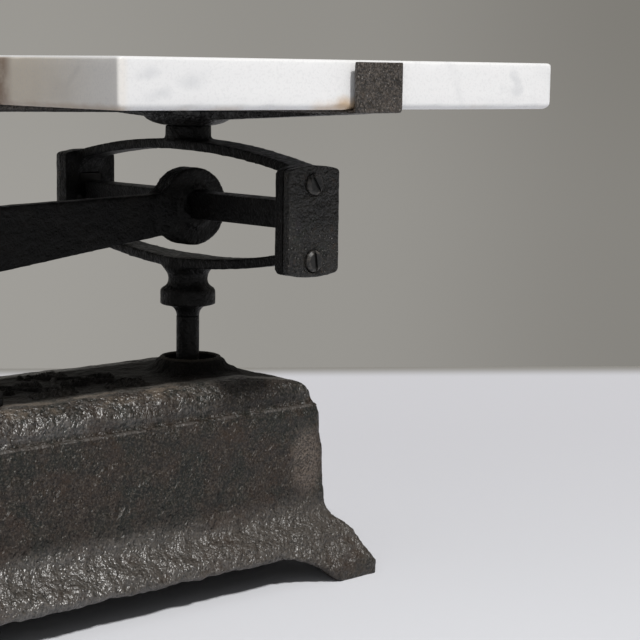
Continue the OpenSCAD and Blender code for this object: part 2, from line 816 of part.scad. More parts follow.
// Flange, four arms and four lugs. hold_x and hold_y are the lugs' inner faces.
module cradle(hold_x, hold_y, lug_top) {
    difference() {
        union() {
            rotate_extrude($fn = 96) polygon([
                [0, spigot_top], [flange_low_r, spigot_top], [flange_r - 6.5, spigot_top + 1.2],
                [flange_r - 3, spigot_top + 3], [flange_r, spigot_top + 6], [flange_r, cradle_top], [0, cradle_top]
            ]);
            for (turn = [0, 180]) rotate([0, 0, turn]) plain_arm(hold_x, lug_top);
            for (turn = [90, 270]) rotate([0, 0, turn]) ribbed_arm(hold_y, lug_top);
        }
        translate([0, 0, spigot_top - past])
            cylinder(r = cradle_screw_r + 0.5, h = cradle_top - spigot_top + 2 * past, $fn = 48);
        translate([0, 0, cradle_top - cradle_screw_head_h])
            cylinder(r1 = cradle_screw_r + 0.5, r2 = cradle_screw_head_r + 0.3,
                h = cradle_screw_head_h, $fn = 48);
        translate([0, 0, cradle_top]) cylinder(r = cradle_screw_head_r + 0.3, h = past, $fn = 48);
    }
}

// An arm along +X under what the cradle holds: a plate that thins to tip, and the lug at its end
module arm_and_lug(hold, lug_top, root, tip) {
    slab_xz(-lug_w / 2, lug_w / 2) polygon([
        [0, cradle_top - root], [hold - 12, cradle_top - tip], [hold + lug_t / 2, cradle_top - tip],
        [hold + lug_t / 2, cradle_top], [0, cradle_top]
    ]);
    intersection() {
        slab_yz(hold, hold + lug_t) offset(r = lug_corner, $fn = 32) offset(delta = -lug_corner)
            translate([-lug_w / 2, cradle_top - tip]) square([lug_w, lug_top - cradle_top + tip + 8]);
        translate([hold, -lug_w, cradle_top - tip]) cube([lug_t, 2 * lug_w, lug_top - cradle_top + tip]);
    }
}

module plain_arm(hold, lug_top) {
    arm_and_lug(hold, lug_top, strap_t + 1, strap_t);
}

// A thinner arm with a tapering rib under it
module ribbed_arm(hold, lug_top) {
    rib_w = 12;
    rib_low = spigot_top + 3;
    arm_and_lug(hold, lug_top, tip_t + 1.8, tip_t);
    slab_xz(-rib_w / 2, rib_w / 2) polygon([
        [0, rib_low], [20, rib_low], [hold - 12, cradle_top - tip_t - 0.8], [hold - 4, cradle_top - tip_t],
        [hold - 4, cradle_top - tip_t / 2], [0, cradle_top - tip_t / 2]
    ]);
}

module cradle_screw() {
    slot_half = cradle_screw_head_r + past;
    difference() {
        union() {
            translate([0, 0, spigot_hole_low])
                cylinder(r = cradle_screw_r - hole_gap, h = cradle_top - spigot_hole_low - 2, $fn = 48);
            translate([0, 0, cradle_top - cradle_screw_head_h - 0.3])
                cylinder(r1 = cradle_screw_r + 0.2, r2 = cradle_screw_head_r,
                    h = cradle_screw_head_h, $fn = 48);
        }
        translate([-slot_w / 2, -slot_half, cradle_top - 0.3 - slot_depth])
            cube([slot_w, 2 * slot_half, slot_depth + past]);
    }
}

module goods_cradle() color(iron) {
    at_goods() rotate([0, 0, -cradle_turn]) cradle(slab_half_turned_x + lug_gap, slab_half_turned_y + lug_gap,
        cradle_top + slab_t - lug_drop);
}

module weights_cradle() color(iron) {
    at_weights() cradle(plate_hold, plate_hold, cradle_top + plate_t + plate_rim_h - lug_drop);
}

module marble_slab() color(marble) {
    at_goods() rotate([0, 0, -slab_turn]) translate([-slab_x / 2, -slab_y / 2, cradle_top + rest_gap])
        cube([slab_x, slab_y, slab_t]);
}

module weights_plate() color(iron) {
    at_weights() translate([0, 0, cradle_top + rest_gap]) rotate_extrude($fn = 128) polygon([
        [0, 0], [round_plate_r - 1.5, 0], [round_plate_r, 1.5], [round_plate_r, plate_t + plate_rim_h - 1.5],
        [round_plate_r - 1.5, plate_t + plate_rim_h], [round_plate_r - plate_rim_w + 3, plate_t + plate_rim_h],
        [round_plate_r - plate_rim_w, plate_t], [0, plate_t]
    ]);
}

module goods_carrier_frame() color(iron) at_goods() carrier_frame();

module goods_bearings() color(steel) at_goods() carrier_bearings();

module goods_end_plate_front() color(iron) at_goods() end_plate_front();

module goods_end_plate_back() color(iron) at_goods() end_plate_back();

module goods_plate_screws() color(iron) at_goods() plate_screws();

module goods_leg() color(iron) at_goods() leg();

module goods_leg_pin() color(steel) at_goods() leg_pin();

module goods_cradle_screw() color(steel) at_goods() cradle_screw();

module weights_carrier_frame() color(iron) at_weights() carrier_frame();

module weights_bearings() color(steel) at_weights() carrier_bearings();

module weights_end_plate_front() color(iron) at_weights() end_plate_front();

module weights_end_plate_back() color(iron) at_weights() end_plate_back();

module weights_plate_screws() color(iron) at_weights() plate_screws();

module weights_leg() color(iron) at_weights() leg();

module weights_leg_pin() color(steel) at_weights() leg_pin();

module weights_cradle_screw() color(steel) at_weights() cradle_screw();

base_casting();
fulcrum_pillar();
pillar_bolts();
pillar_nuts();
fulcrum_bearings();
fulcrum_cover_front();
fulcrum_cover_back();
fulcrum_cover_screws();
stay_bracket();
stay_pin();
beam();
fulcrum_knife_bar();
goods_knife_bar();
weights_knife_bar();
stay();
goods_carrier_frame();
goods_bearings();
goods_end_plate_front();
goods_end_plate_back();
goods_plate_screws();
goods_leg();
goods_leg_pin();
goods_cradle();
goods_cradle_screw();
marble_slab();
weights_carrier_frame();
weights_bearings();
weights_end_plate_front();
weights_end_plate_back();
weights_plate_screws();
weights_leg();
weights_leg_pin();
weights_cradle();
weights_cradle_screw();
weights_plate();
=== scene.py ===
"""Counter balance scale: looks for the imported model.

Lengths are metres in the model's own frame: origin in the middle of the base on the floor,
+X towards the goods end, -Y towards the front, +Z up. Colours are linear.
"""
import json
import math

import bmesh
import bpy
import numpy as np
from mathutils import Matrix, Vector, noise
from mathutils.bvhtree import BVHTree


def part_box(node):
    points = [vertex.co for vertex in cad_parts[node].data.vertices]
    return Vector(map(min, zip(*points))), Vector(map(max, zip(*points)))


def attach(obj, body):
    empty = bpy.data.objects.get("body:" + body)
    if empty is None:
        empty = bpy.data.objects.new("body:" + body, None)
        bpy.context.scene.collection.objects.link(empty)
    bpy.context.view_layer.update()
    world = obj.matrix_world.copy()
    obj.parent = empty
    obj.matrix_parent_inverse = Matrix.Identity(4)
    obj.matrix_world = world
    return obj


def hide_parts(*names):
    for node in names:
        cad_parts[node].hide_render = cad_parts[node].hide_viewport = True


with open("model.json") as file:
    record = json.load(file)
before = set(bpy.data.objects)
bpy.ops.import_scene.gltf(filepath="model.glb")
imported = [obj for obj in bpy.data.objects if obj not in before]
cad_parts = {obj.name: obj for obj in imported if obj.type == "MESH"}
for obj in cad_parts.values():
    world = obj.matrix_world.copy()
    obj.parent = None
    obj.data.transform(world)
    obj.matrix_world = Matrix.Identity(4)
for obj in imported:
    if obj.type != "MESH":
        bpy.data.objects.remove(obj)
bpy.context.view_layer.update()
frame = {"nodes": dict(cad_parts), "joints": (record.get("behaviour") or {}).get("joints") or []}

joints = {j["name"]: j for j in frame["joints"]}
GOODS_X, _, GOODS_Z = joints["goods_carrier_pivot"]["pos_m"]
WEIGHTS_X, _, WEIGHTS_Z = joints["weights_carrier_pivot"]["pos_m"]
FULCRUM_Z = joints["beam_swing"]["pos_m"][2]

# What the names of each end's nodes begin with, and how much coarser the end out of the photo is meshed
GOODS_END = "goods_"
WEIGHTS_END = "weights_"
WEIGHTS_COARSE = 1.3

# Camera, solved from the photo: its place from the goods post, its heading and its tilt
CAMERA_FROM_POST = (-0.5711, -0.7373, 0.2691)
CAMERA_HEADING = math.radians(42.1)
CAMERA_PITCH = math.radians(8.11)
CAMERA_ROLL = math.radians(0.77)
LENS_MM = 99.0
SENSOR_MM = 36.0

# The table's back edge in the photo, as a place from the camera and a direction
TABLE_EDGE_POINT = (1.121, 1.130)
TABLE_EDGE_TURN = math.radians(-36.2)
TABLE_EDGE_BLUR = 0.055
TABLE_SIZE = 6.0
TABLE_COLOUR = (0.622, 0.626, 0.662, 1)
# The table painted paler towards the camera, as painted light that is stronger nearer the lamp
TABLE_LIT_NEAR_COLOUR = (0.735, 0.748, 0.785, 1)
TABLE_NEAR_Y = (-0.25, -0.90)
HORIZON_COLOUR = (0.27, 0.262, 0.242, 1)

# Light: one lamp high in front, so that the slab shades the beam and the base's top, and a pale room
KEY_DIRECTION = (-0.04, -0.60, 0.80)
KEY_WIDTH = math.radians(7)
KEY_STRENGTH = 3.0
KEY_COLOUR = (1.0, 0.985, 0.965)
ROOM_COLOUR = (0.98, 0.98, 0.99, 1)
ROOM_STRENGTH = 0.11
ROOM_LOW = 0.04
ROOM_RISE = (0.0, 0.2)
ROOM_LEFT = 0.56
ROOM_LEFT_X = (0.1, -0.8)
ROOM_LEFT_RISE = (0.0, 0.30)
ROOM_LEFT_LOW = 0.15

# Backdrop as the camera sees it, across the frame and down towards the table
BACKDROP_LEFT = (0.322, 0.311, 0.288, 1)
BACKDROP_MIDDLE = (0.281, 0.271, 0.250, 1)
BACKDROP_RIGHT = (0.212, 0.203, 0.184, 1)
BACKDROP_HALF = 0.18
BACKDROP_GLOW = 0.027
BACKDROP_GLOW_Z = (0.04, -0.09)

# Base: where its top, the ledge under its shoulder, its walls, its collars and its hollow lie
BASE_TOP = 0.1095
TOP_EDGE = (0.1035, 0.1065)
SHOULDER = (0.0925, 0.0960)
LEDGE_Z = 0.0921
LEDGE_BAND = (0.0885, 0.0960)
WALL_X = 0.229
WALL_Y = 0.054
SKIRT_TOP = 0.034
COLLAR_X = GOODS_X + 0.0018
COLLAR_LOW = 0.1045
COLLAR_REACH = 0.024
HOLLOW_LOW = (0.2245, 0.0495, 0.088)
HOLLOW_HIGH = (0.216, 0.041, 0.1035)

# Paint of the base: the slant of its pebbles, and where its skirt, its sole, the shoulder's painted shade and
# its worn part with painted glints, the right end, the rusty corner, the top's edge painted pale as
# highlight, the ledge's painted highlight line and the field's painted shade lie
SLANT_ACROSS = (0.87, 0, -0.50)
SLANT_ALONG = (0.28, 0, 0.48)
PAINT_SKIRT = (0.048, SKIRT_TOP)
PAINT_SOLE = (0.004, 0.018)
SHADE_X = (0.160, 0.212)
ROLL_X = (0.02, 0.09)
RIGHT_X = (0.06, 0.20)
RUST_SPOT = (0.216, -0.054, 0.063)
RUST_RADII = (0.014, 0.03, 0.024)
PALE_EDGE_Y = (-0.045, -0.031)
PALE_EDGE_X = (0.165, 0.13)
LEDGE_HIGHLIGHT_HALF = 0.0006
SHADED_FIELD_Y = (0.036, 0.028)
SHADED_FIELD_Z = (0.1015, 0.1060)

# Height and inset from the wall's foot of points down the ledge's outline, and how far faces move to it
LEDGE_OUTLINE = (
    (0.0885, -0.00285), (0.0917, -0.0031), (0.0922, -0.0036),
    (0.0929, -0.0051), (0.0940, -0.0055), (0.0960, -0.0056))
LEDGE_REACH = 0.003
LEDGE_CORNER = 0.0015

# Rough skin of the base: depth, size and start of each kind of lump, and whether the skirt has more of it
BASE_VOXEL = 0.0018
BASE_SWELL = 0.00070
BASE_LUMPS = ((0.00050, 0.040, 0.0, False), (0.00036, 0.013, 7.0, True), (0.00024, 0.0055, 13.0, True))
SKIRT_LUMPS = 1.4
SKIRT_RISE = (0.052, SKIRT_TOP)
COLLAR_CALM = (0.016, 0.026)
COLLAR_LUMPS = 0.1
LEDGE_CALM_LOW = (0.087, 0.090)
LEDGE_CALM_TOP = (0.098, 0.095)
LEDGE_CALM = 0.7
TOP_SINK = 0.00060
SOLE_DROP = 0.0007
SOLE_DROP_Z = (0.008, 0.002)
SOLE_FLAT_Z = (0.0004, 0.006)

# Slab: its turn in the cradle, and the places of its front and left faces before that turn
SLAB_TURN = math.radians(4.4)
SLAB_FRONT = -0.1397
SLAB_LEFT = -0.127

# Worn edges of the slab: radii, steps of the mesh, and the sizes and depths of its chips and waves
SLAB_LOW_R = 0.0032
SLAB_TOP_R = 0.0016
SLAB_CORNER_R = 0.0016
SLAB_ROUND_STEPS = 6
SLAB_CORNER_STEPS = 5
SLAB_SIDE_STEPS = 100
SLAB_FACE_SHARES = (0.25, 0.5, 0.75)
SLAB_CORNERS = ((1, 1), (-1, 1), (-1, -1), (1, -1))
CHIP_SIZE = 0.009
CHIP_FROM = 0.30
CHIP_DEPTH = 0.0040
EDGE_WAVE_SIZE = 0.022
EDGE_WAVE_DEPTH = 0.0006
FACE_WAVE_SIZE = 0.03
FACE_WAVE_DEPTH = 0.0001
TOP_EDGE_WEAR = 0.4

# Grey clouds on the slab's front: centre across and up, and radii across and up
SLAB_CLOUDS = (
    (-0.0886, 0.2632, 0.011, 0.0065), (-0.1064, 0.2580, 0.010, 0.004), (-0.1114, 0.2670, 0.009, 0.004),
    (0.0996, 0.2597, 0.009, 0.005), (0.1020, 0.2650, 0.004, 0.010))

# Other marks on the slab: centre and radii of a shade and of a slanted streak on the left face and of a brown
# patch beside the lug, the streak's slope and place, and where dirt lies on the left face and low down
SLAB_SHADE = ((SLAB_LEFT, -0.088, 0.2590), (0.02, 0.017, 0.009))
SLAB_STREAK = ((SLAB_LEFT, -0.101, 0.2635), (0.02, 0.016, 0.012))
SLAB_BROWN_PATCH = ((-0.003, SLAB_FRONT, 0.2515), (0.030, 0.015, 0.0075))
STREAK_SLOPE = 0.79
STREAK_BAND = (0.1825, 0.1860)
SLAB_DIRT_Y = (-0.048, -0.036)
SLAB_LOW_Z = (0.2560, 0.2525)

# Top of the cradles above the knife line, and how far below it the black painted as shade under what they
# hold is full and where their brown is full
CRADLE_TOP = 0.0503
UNDER_SLAB_SHADE = (0.0035, 0.0015)

# Tints of the worked steel, in the light and stained
STEEL_LIGHT = (0.16, 0.157, 0.153, 1)
STEEL_DARK = (0.09, 0.085, 0.08, 1)
BEARING_LIGHT = (0.0080, 0.0075, 0.0070, 1)
BEARING_DARK = (0.0040, 0.0038, 0.0036, 1)

# Screw heads: heights from the knife line and radius
SCREW_UP = 0.0134
SCREW_DOWN = 0.0241
SCREW_R = 0.00525

# Skin of a small casting: lumps and grain, each with its size and its share of the depth
CAST_LUMPS = (("lumps", 0.006, 1.0), ("grain", 0.0025, 0.4))
CAST_INWARD = 0.8
WELD_GAP = 1e-6
BEVEL_FROM = math.radians(35)

# Ornament on each half of the base's top: its field, its mesh and how deep it is let in
FIELD_X = (0.048, 0.134)
FIELD_Y = 0.034
FIELD_STEP = 0.0008
FIELD_SINK = 0.0016
FIELD_FADE = 0.002
ORNAMENT_UP = 0.003
ORNAMENT_WEAR = 0.18
ORNAMENT_WEAR_SIZE = 0.006

# Its vine, its leaves, each with an angle, a length and a half width, and its berries' places from a crest
VINE_WAVE = 0.044
VINE_SWING = 0.012
VINE_R = 0.0019
VINE_UP = 0.0024
VINE_CRESTS = 4
CREST_IN = 0.001
HOLLOW_SIDE_Y = 0.004
CREST_LEAVES = ((62, 0.020, 0.0058), (118, 0.019, 0.0054), (90, 0.021, 0.0046))
HOLLOW_LEAVES = ((-72, 0.017, 0.0052), (-112, 0.017, 0.0050))
LEAF_UP = 0.0027
LEAF_GROOVE_R = 0.0009
LEAF_RIB_STEP = 0.0030
BERRIES = ((-0.0135, 0.008), (-0.0105, 0.0115), (-0.0150, 0.0125))
BERRY_R = 0.0024
BERRY_UP = 0.0026


def rotation_from_axes(right, up, back):
    """The rotation that turns X, Y and Z to these axes."""
    return Matrix((right, up, back)).transposed().to_4x4()


def link(name, data):
    """A new object with this mesh, lamp or camera, in the scene."""
    made = bpy.data.objects.new(name, data)
    bpy.context.scene.collection.objects.link(made)
    return made


def make_camera():
    """A camera at the photo's place, level in its heading, then tilted down and rolled."""
    heading = Vector((math.sin(CAMERA_HEADING), math.cos(CAMERA_HEADING), 0))
    level_right = Vector((math.cos(CAMERA_HEADING), -math.sin(CAMERA_HEADING), 0))
    world_up = Vector((0, 0, 1))
    forward = math.cos(CAMERA_PITCH) * heading - math.sin(CAMERA_PITCH) * world_up
    level_up = math.sin(CAMERA_PITCH) * heading + math.cos(CAMERA_PITCH) * world_up
    right = math.cos(CAMERA_ROLL) * level_right + math.sin(CAMERA_ROLL) * level_up
    up = -math.sin(CAMERA_ROLL) * level_right + math.cos(CAMERA_ROLL) * level_up
    data = bpy.data.cameras.new("camera")
    data.lens = LENS_MM
    data.sensor_width = SENSOR_MM
    camera = link("camera", data)
    place = Vector(CAMERA_FROM_POST) + Vector((GOODS_X, 0, 0))
    camera.matrix_world = Matrix.Translation(place) @ rotation_from_axes(right, up, -forward)
    bpy.context.scene.camera = camera


class Graph:
    """A node tree, with short calls for the nodes used here."""

    def __init__(self, tree, place):
        self.tree = tree
        self.place = self.add("ShaderNodeTexCoord").outputs[place]

    def add(self, kind, inputs=(), **settings):
        """A new node with these settings and inputs."""
        made = self.tree.nodes.new(kind)
        for key, value in settings.items():
            setattr(made, key, value)
        for key, value in dict(inputs).items():
            self.put(made.inputs[key], value)
        return made

    def put(self, socket, value):
        """Sets an input, or links another node's output to it."""
        if isinstance(value, bpy.types.NodeSocket):
            self.tree.links.new(value, socket)
        else:
            socket.default_value = value

    def math(self, operation, a, b=0.0, clamp=False):
        made = self.add("ShaderNodeMath", {0: a, 1: b}, operation=operation, use_clamp=clamp)
        return made.outputs[0]

    def times(self, a, b):
        """The product, kept between 0 and 1."""
        return self.math("MULTIPLY", a, b, clamp=True)

    def vector(self, operation, a, b, output="Vector"):
        return self.add("ShaderNodeVectorMath", {0: a, 1: b}, operation=operation).outputs[output]

    def moved(self, by):
        """This graph's coordinates, moved, so that a noise there differs from one here."""
        return self.vector("ADD", self.place, by)

    def noise(self, scale, detail=4.0, roughness=0.55, distortion=0.0, place=None):
        """A cloudy value about 0.5, with scale lumps in a metre."""
        made = self.add("ShaderNodeTexNoise", {
            "Vector": place or self.place, "Scale": scale, "Detail": detail,
            "Roughness": roughness, "Distortion": distortion})
        return made.outputs["Fac"]

    def cells(self, scale):
        """The distance to the nearest of many scattered points."""
        made = self.add("ShaderNodeTexVoronoi", {"Vector": self.place, "Scale": scale})
        return made.outputs["Distance"]

    def ramp(self, value, low, high, out_low=0.0, out_high=1.0):
        """A smooth change from out_low, at low, to out_high, at high. low may be above high."""
        made = self.add("ShaderNodeMapRange", {
            "Value": value, "From Min": low, "From Max": high, "To Min": out_low, "To Max": out_high})
        made.interpolation_type = "SMOOTHSTEP"
        return made.outputs["Result"]

    def blob(self, place, centre, radii, edge=0.0):
        """A soft spot: 1 up to the share edge of its radii, and 0 past them."""
        off = self.vector("SUBTRACT", place, centre)
        scaled = self.vector("MULTIPLY", off, tuple(1 / r for r in radii))
        return self.ramp(self.vector("LENGTH", scaled, (0, 0, 0), "Value"), 1.0, edge)

    def band(self, value, low, high, soft):
        """1 between low and high, with soft ends."""
        rise = self.ramp(value, low - soft, low + soft)
        fall = self.ramp(value, high + soft, high - soft)
        return self.times(rise, fall)

    def mix(self, factor, a, b):
        """The colour a where the factor is 0, and b where it is 1."""
        made = self.add("ShaderNodeMix", data_type="RGBA")
        self.put(made.inputs[0], factor)
        self.put(made.inputs[6], a)
        self.put(made.inputs[7], b)
        return made.outputs[2]

    def lay(self, tint, mask, share, colour):
        """The tint with a colour over it, as far as the mask says and at most by the share."""
        return self.mix(self.times(mask, share), tint, colour)

    def axis(self, name, place=None):
        split = self.add("ShaderNodeSeparateXYZ", {0: place or self.place})
        return split.outputs[name]

    def bump(self, height, distance, strength=1.0, under=None):
        """A normal from a height, on top of the one under it."""
        made = self.add("ShaderNodeBump", {"Height": height, "Distance": distance, "Strength": strength})
        if under is not None:
            self.put(made.inputs["Normal"], under)
        return made.outputs["Normal"]


class Surface(Graph):
    """A material's graph, in its object's coordinates."""

    def __init__(self, name):
        self.material = bpy.data.materials.new(name)
        self.material.use_nodes = True
        super().__init__(self.material.node_tree, "Object")
        self.shader = self.tree.nodes["Principled BSDF"]

    def sand(self):
        """The fine grain and the coarser lumps of a sand casting."""
        return self.noise(850.0, 1.0, 0.5), self.noise(300.0, 2.0, 0.55)

    def finish(self, **inputs):
        """The material, with these inputs of its shader."""
        for key, value in inputs.items():
            self.put(self.shader.inputs[key.replace("_", " ")], value)
        return self.material


def black_iron():
    """Black casting, painted darker still as the shade it stands in: near black and dull, with a sand-cast
    grain.
    """
    black = (0.0022, 0.0021, 0.0020, 1)
    grey = (0.0068, 0.0060, 0.0052, 1)
    g = Surface("black_iron")
    tint = g.mix(g.ramp(g.noise(60.0, 5.0, 0.6), 0.45, 0.75), black, grey)
    grain, lumps = g.sand()
    normal = g.bump(lumps, 0.0013, under=g.bump(grain, 0.00060))
    rough = g.ramp(lumps, 0.3, 0.7, 0.42, 0.60)
    return g.finish(Base_Color=tint, Roughness=rough, Normal=normal, Specular_IOR_Level=0.16)


def plate_iron():
    """Iron in the light: black with a mottle of rust brown, grey green and violet."""
    black = (0.0028, 0.0029, 0.0027, 1)
    grey = (0.0120, 0.0112, 0.0100, 1)
    grey_green = (0.013, 0.017, 0.012, 1)
    violet_grey = (0.014, 0.011, 0.016, 1)
    rust_brown = (0.034, 0.020, 0.012, 1)
    bare = (0.036, 0.032, 0.028, 1)
    g = Surface("plate_iron")
    green = g.ramp(g.noise(95.0, 4.0, 0.6, place=g.moved((0.3, 0, 0))), 0.55, 0.72)
    violet = g.ramp(g.noise(110.0, 4.0, 0.6, place=g.moved((0, 0.4, 0))), 0.56, 0.74)
    rust = g.ramp(g.noise(150.0, 5.0, 0.65, place=g.moved((0, 0, 0.5))), 0.58, 0.72)
    grain, lumps = g.sand()
    pits = g.ramp(g.cells(380.0), 0.05, 0.40)
    tint = g.mix(g.ramp(g.noise(130.0, 5.0, 0.6), 0.35, 0.7), black, grey)
    tint = g.lay(tint, green, 0.7, grey_green)
    tint = g.lay(tint, violet, 0.6, violet_grey)
    tint = g.lay(tint, rust, 0.8, rust_brown)
    tint = g.mix(g.ramp(grain, 0.52, 0.66, 0.0, 0.6), tint, bare)
    normal = g.bump(lumps, 0.0015, under=g.bump(grain, 0.00062))
    normal = g.bump(pits, 0.00040, under=normal)
    rough = g.ramp(lumps, 0.3, 0.7, 0.34, 0.50)
    return g.finish(Base_Color=tint, Roughness=rough, Normal=normal, Specular_IOR_Level=0.36)


def cradle_iron(name, top):
    """Bare pitted brown casting of a cradle, painted black below its top as the shade under what it holds."""
    dark_brown = (0.013, 0.0108, 0.0088, 1)
    brown = (0.037, 0.030, 0.024, 1)
    bare = (0.092, 0.078, 0.067, 1)
    rust_brown = (0.085, 0.050, 0.030, 1)
    black = (0.0050, 0.0045, 0.0040, 1)
    g = Surface(name)
    pebble = g.noise(420.0, 1.5, 0.55)
    tint = g.mix(g.ramp(g.noise(90.0, 5.0, 0.6), 0.35, 0.7), dark_brown, brown)
    tint = g.mix(g.ramp(g.noise(1100.0, 2.0, 0.6), 0.42, 0.66), tint, bare)
    rust = g.ramp(g.noise(120.0, 5.0, 0.65, place=g.moved((0.2, 0, 0.3))), 0.60, 0.75)
    tint = g.lay(tint, rust, 0.6, rust_brown)
    # Painted shade: black below the cradle's top, under what it holds
    tint = g.mix(g.ramp(g.axis("Z"), top - UNDER_SLAB_SHADE[0], top - UNDER_SLAB_SHADE[1]), black, tint)
    pits = g.ramp(g.cells(520.0), 0.02, 0.42)
    normal = g.bump(pits, 0.00045, under=g.bump(pebble, 0.0014))
    return g.finish(Base_Color=tint, Roughness=g.ramp(pebble, 0.3, 0.7, 0.52, 0.36), Normal=normal)


def screw_iron(name, x, z, up):
    """Dark screws with worn rims. Where up is 1, the head nearer to the line (x, z) is the one above it."""
    dark = (0.0085, 0.0082, 0.0080, 1)
    bare = (0.060, 0.054, 0.048, 1)
    g = Surface(name)
    rims = 0.0
    for height in (z + up * SCREW_UP, z - up * SCREW_DOWN):
        flat = g.vector("MULTIPLY", g.vector("SUBTRACT", g.place, (x, 0, height)), (1, 0, 1))
        from_axis = g.vector("LENGTH", flat, (0, 0, 0), "Value")
        rims = g.math("MAXIMUM", rims, g.band(from_axis, SCREW_R * 0.70, SCREW_R * 1.1, SCREW_R * 0.12))
    scuffs = g.ramp(g.noise(600.0, 4.0, 0.6), 0.40, 0.62)
    tint = g.mix(g.times(rims, scuffs), dark, bare)
    normal = g.bump(g.noise(900.0, 3.0, 0.6), 0.00015)
    return g.finish(Base_Color=tint, Roughness=0.42, Normal=normal, Specular_IOR_Level=0.4)


def base_iron():
    """Old rough casting: pebbly, brown black, rusty at one corner, with wear, painted highlights and painted
    shade.
    """
    green_black = (0.0082, 0.0098, 0.0074, 1)
    brown_black = (0.0215, 0.0146, 0.0104, 1)
    crust_brown = (0.028, 0.021, 0.016, 1)
    skirt_lit_grey = (0.060, 0.052, 0.045, 1)
    bare = (0.100, 0.092, 0.084, 1)
    shade_black = (0.0060, 0.0055, 0.0050, 1)
    pit_black = (0.0022, 0.0022, 0.0018, 1)
    grain_brown = (0.062, 0.053, 0.044, 1)
    rust_brown = (0.036, 0.020, 0.012, 1)
    corner_rust = (0.120, 0.098, 0.082, 1)
    lit_edge_rust = (0.150, 0.120, 0.092, 1)
    ledge_highlight_grey = (0.092, 0.083, 0.076, 1)
    field_shade_black = (0.0045, 0.0040, 0.0036, 1)
    rim_brown = (0.046, 0.040, 0.032, 1)
    g = Surface("base_iron")
    x, y, z = (g.axis(name) for name in "XYZ")

    # Pebbles that lie in slanted rows, and the crust that stands up with them
    slanted = g.add("ShaderNodeCombineXYZ", {
        "X": g.vector("DOT_PRODUCT", g.place, SLANT_ACROSS, "Value"), "Y": y,
        "Z": g.vector("DOT_PRODUCT", g.place, SLANT_ALONG, "Value")}).outputs[0]
    pebble = g.noise(330.0, 2.0, 0.55, place=slanted)
    speck = g.noise(860.0, 1.0, 0.5, place=slanted)
    grains = g.noise(900.0, 3.0, 0.7)
    height = g.math("ADD", g.math("MULTIPLY", speck, 0.6), g.math("MULTIPLY", pebble, 0.4))
    crust = g.ramp(height, 0.47, 0.61)

    # Where it is worn and painted lighter as highlight glints: the skirt and the rolled shoulder, less so at
    # the shoulder's shaded right end
    above = g.ramp(z, *SHOULDER)
    dull = g.times(above, g.band(x, *SHADE_X, 0.012))
    skirt = g.times(g.ramp(z, *PAINT_SKIRT), g.ramp(z, *PAINT_SOLE, 0.25, 1.0))
    roll = g.times(above, g.times(g.ramp(dull, 0.0, 1.0, 1.0, 0.12), g.ramp(x, *ROLL_X, 1.0, 0.7)))
    uneven = g.ramp(g.noise(34.0, 4.0), 0.38, 0.56, 0.50, 1.0)
    worn = g.times(g.math("MAXIMUM", skirt, roll), uneven)
    right = g.ramp(x, *RIGHT_X)

    tint = g.mix(g.ramp(g.noise(42.0, 7.0, 0.68), 0.42, 0.58), green_black, brown_black)
    tint = g.lay(tint, crust, 0.6, crust_brown)
    # The skirt painted a lighter grey as its highlight, more so to the right, and the worn crust painted
    # bare, both as wear and as highlight glints
    tint = g.lay(tint, skirt, g.ramp(right, 0.0, 1.0, 0.65, 0.80), skirt_lit_grey)
    tint = g.lay(tint, worn, crust, bare)
    # Painted shade on the shoulder's right end, where the end plate's shadow falls
    tint = g.lay(tint, dull, 0.6, shade_black)
    tint = g.mix(g.ramp(grains, 0.49, 0.37, 0.0, 0.75), tint, pit_black)
    tint = g.mix(g.ramp(grains, 0.51, 0.64, 0.0, 0.80), tint, grain_brown)
    tint = g.lay(tint, g.ramp(g.noise(40.0, 5.0, 0.65), 0.52, 0.70), 0.4, rust_brown)

    # A rusty patch at one corner, the top's front edge painted pale as highlight, the ledge's painted
    # highlight line, the field's painted shade and the collars' rims
    patch = g.blob(g.place, RUST_SPOT, RUST_RADII, 0.4)
    patch = g.times(patch, g.ramp(g.noise(950.0, 2.0, 0.6), 0.38, 0.60, 0.1, 1.0))
    tint = g.lay(tint, patch, 0.9, corner_rust)
    # Painted highlight: the top's front edge in pale rust brown, where the lamp reaches past the slab's
    # shadow
    edge = g.times(g.band(y, *PALE_EDGE_Y, 0.003), g.times(g.ramp(z, *TOP_EDGE), g.ramp(x, *PALE_EDGE_X)))
    stretched = g.vector("MULTIPLY", g.place, (0.45, 1, 1))
    chips = g.ramp(g.noise(150.0, 6.0, 0.7, place=stretched), 0.46, 0.62)
    tint = g.lay(tint, g.times(edge, chips), 0.75, lit_edge_rust)
    # Painted highlight along the ledge, broken up
    line = g.band(z, LEDGE_Z - LEDGE_HIGHLIGHT_HALF, LEDGE_Z + LEDGE_HIGHLIGHT_HALF, 0.0004)
    line = g.times(line, g.ramp(g.noise(110.0, 5.0, 0.65), 0.44, 0.60))
    tint = g.lay(tint, line, 0.6, ledge_highlight_grey)
    # Painted shade on the top's field, which lies in the slab's shadow
    field = g.times(g.ramp(g.math("ABSOLUTE", y), *SHADED_FIELD_Y), g.ramp(z, *SHADED_FIELD_Z))
    tint = g.lay(tint, field, 0.85, field_shade_black)
    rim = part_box("base_casting")[1][2]
    tint = g.mix(g.ramp(z, rim - 0.0014, rim - 0.0004, 0.0, 0.7), tint, rim_brown)

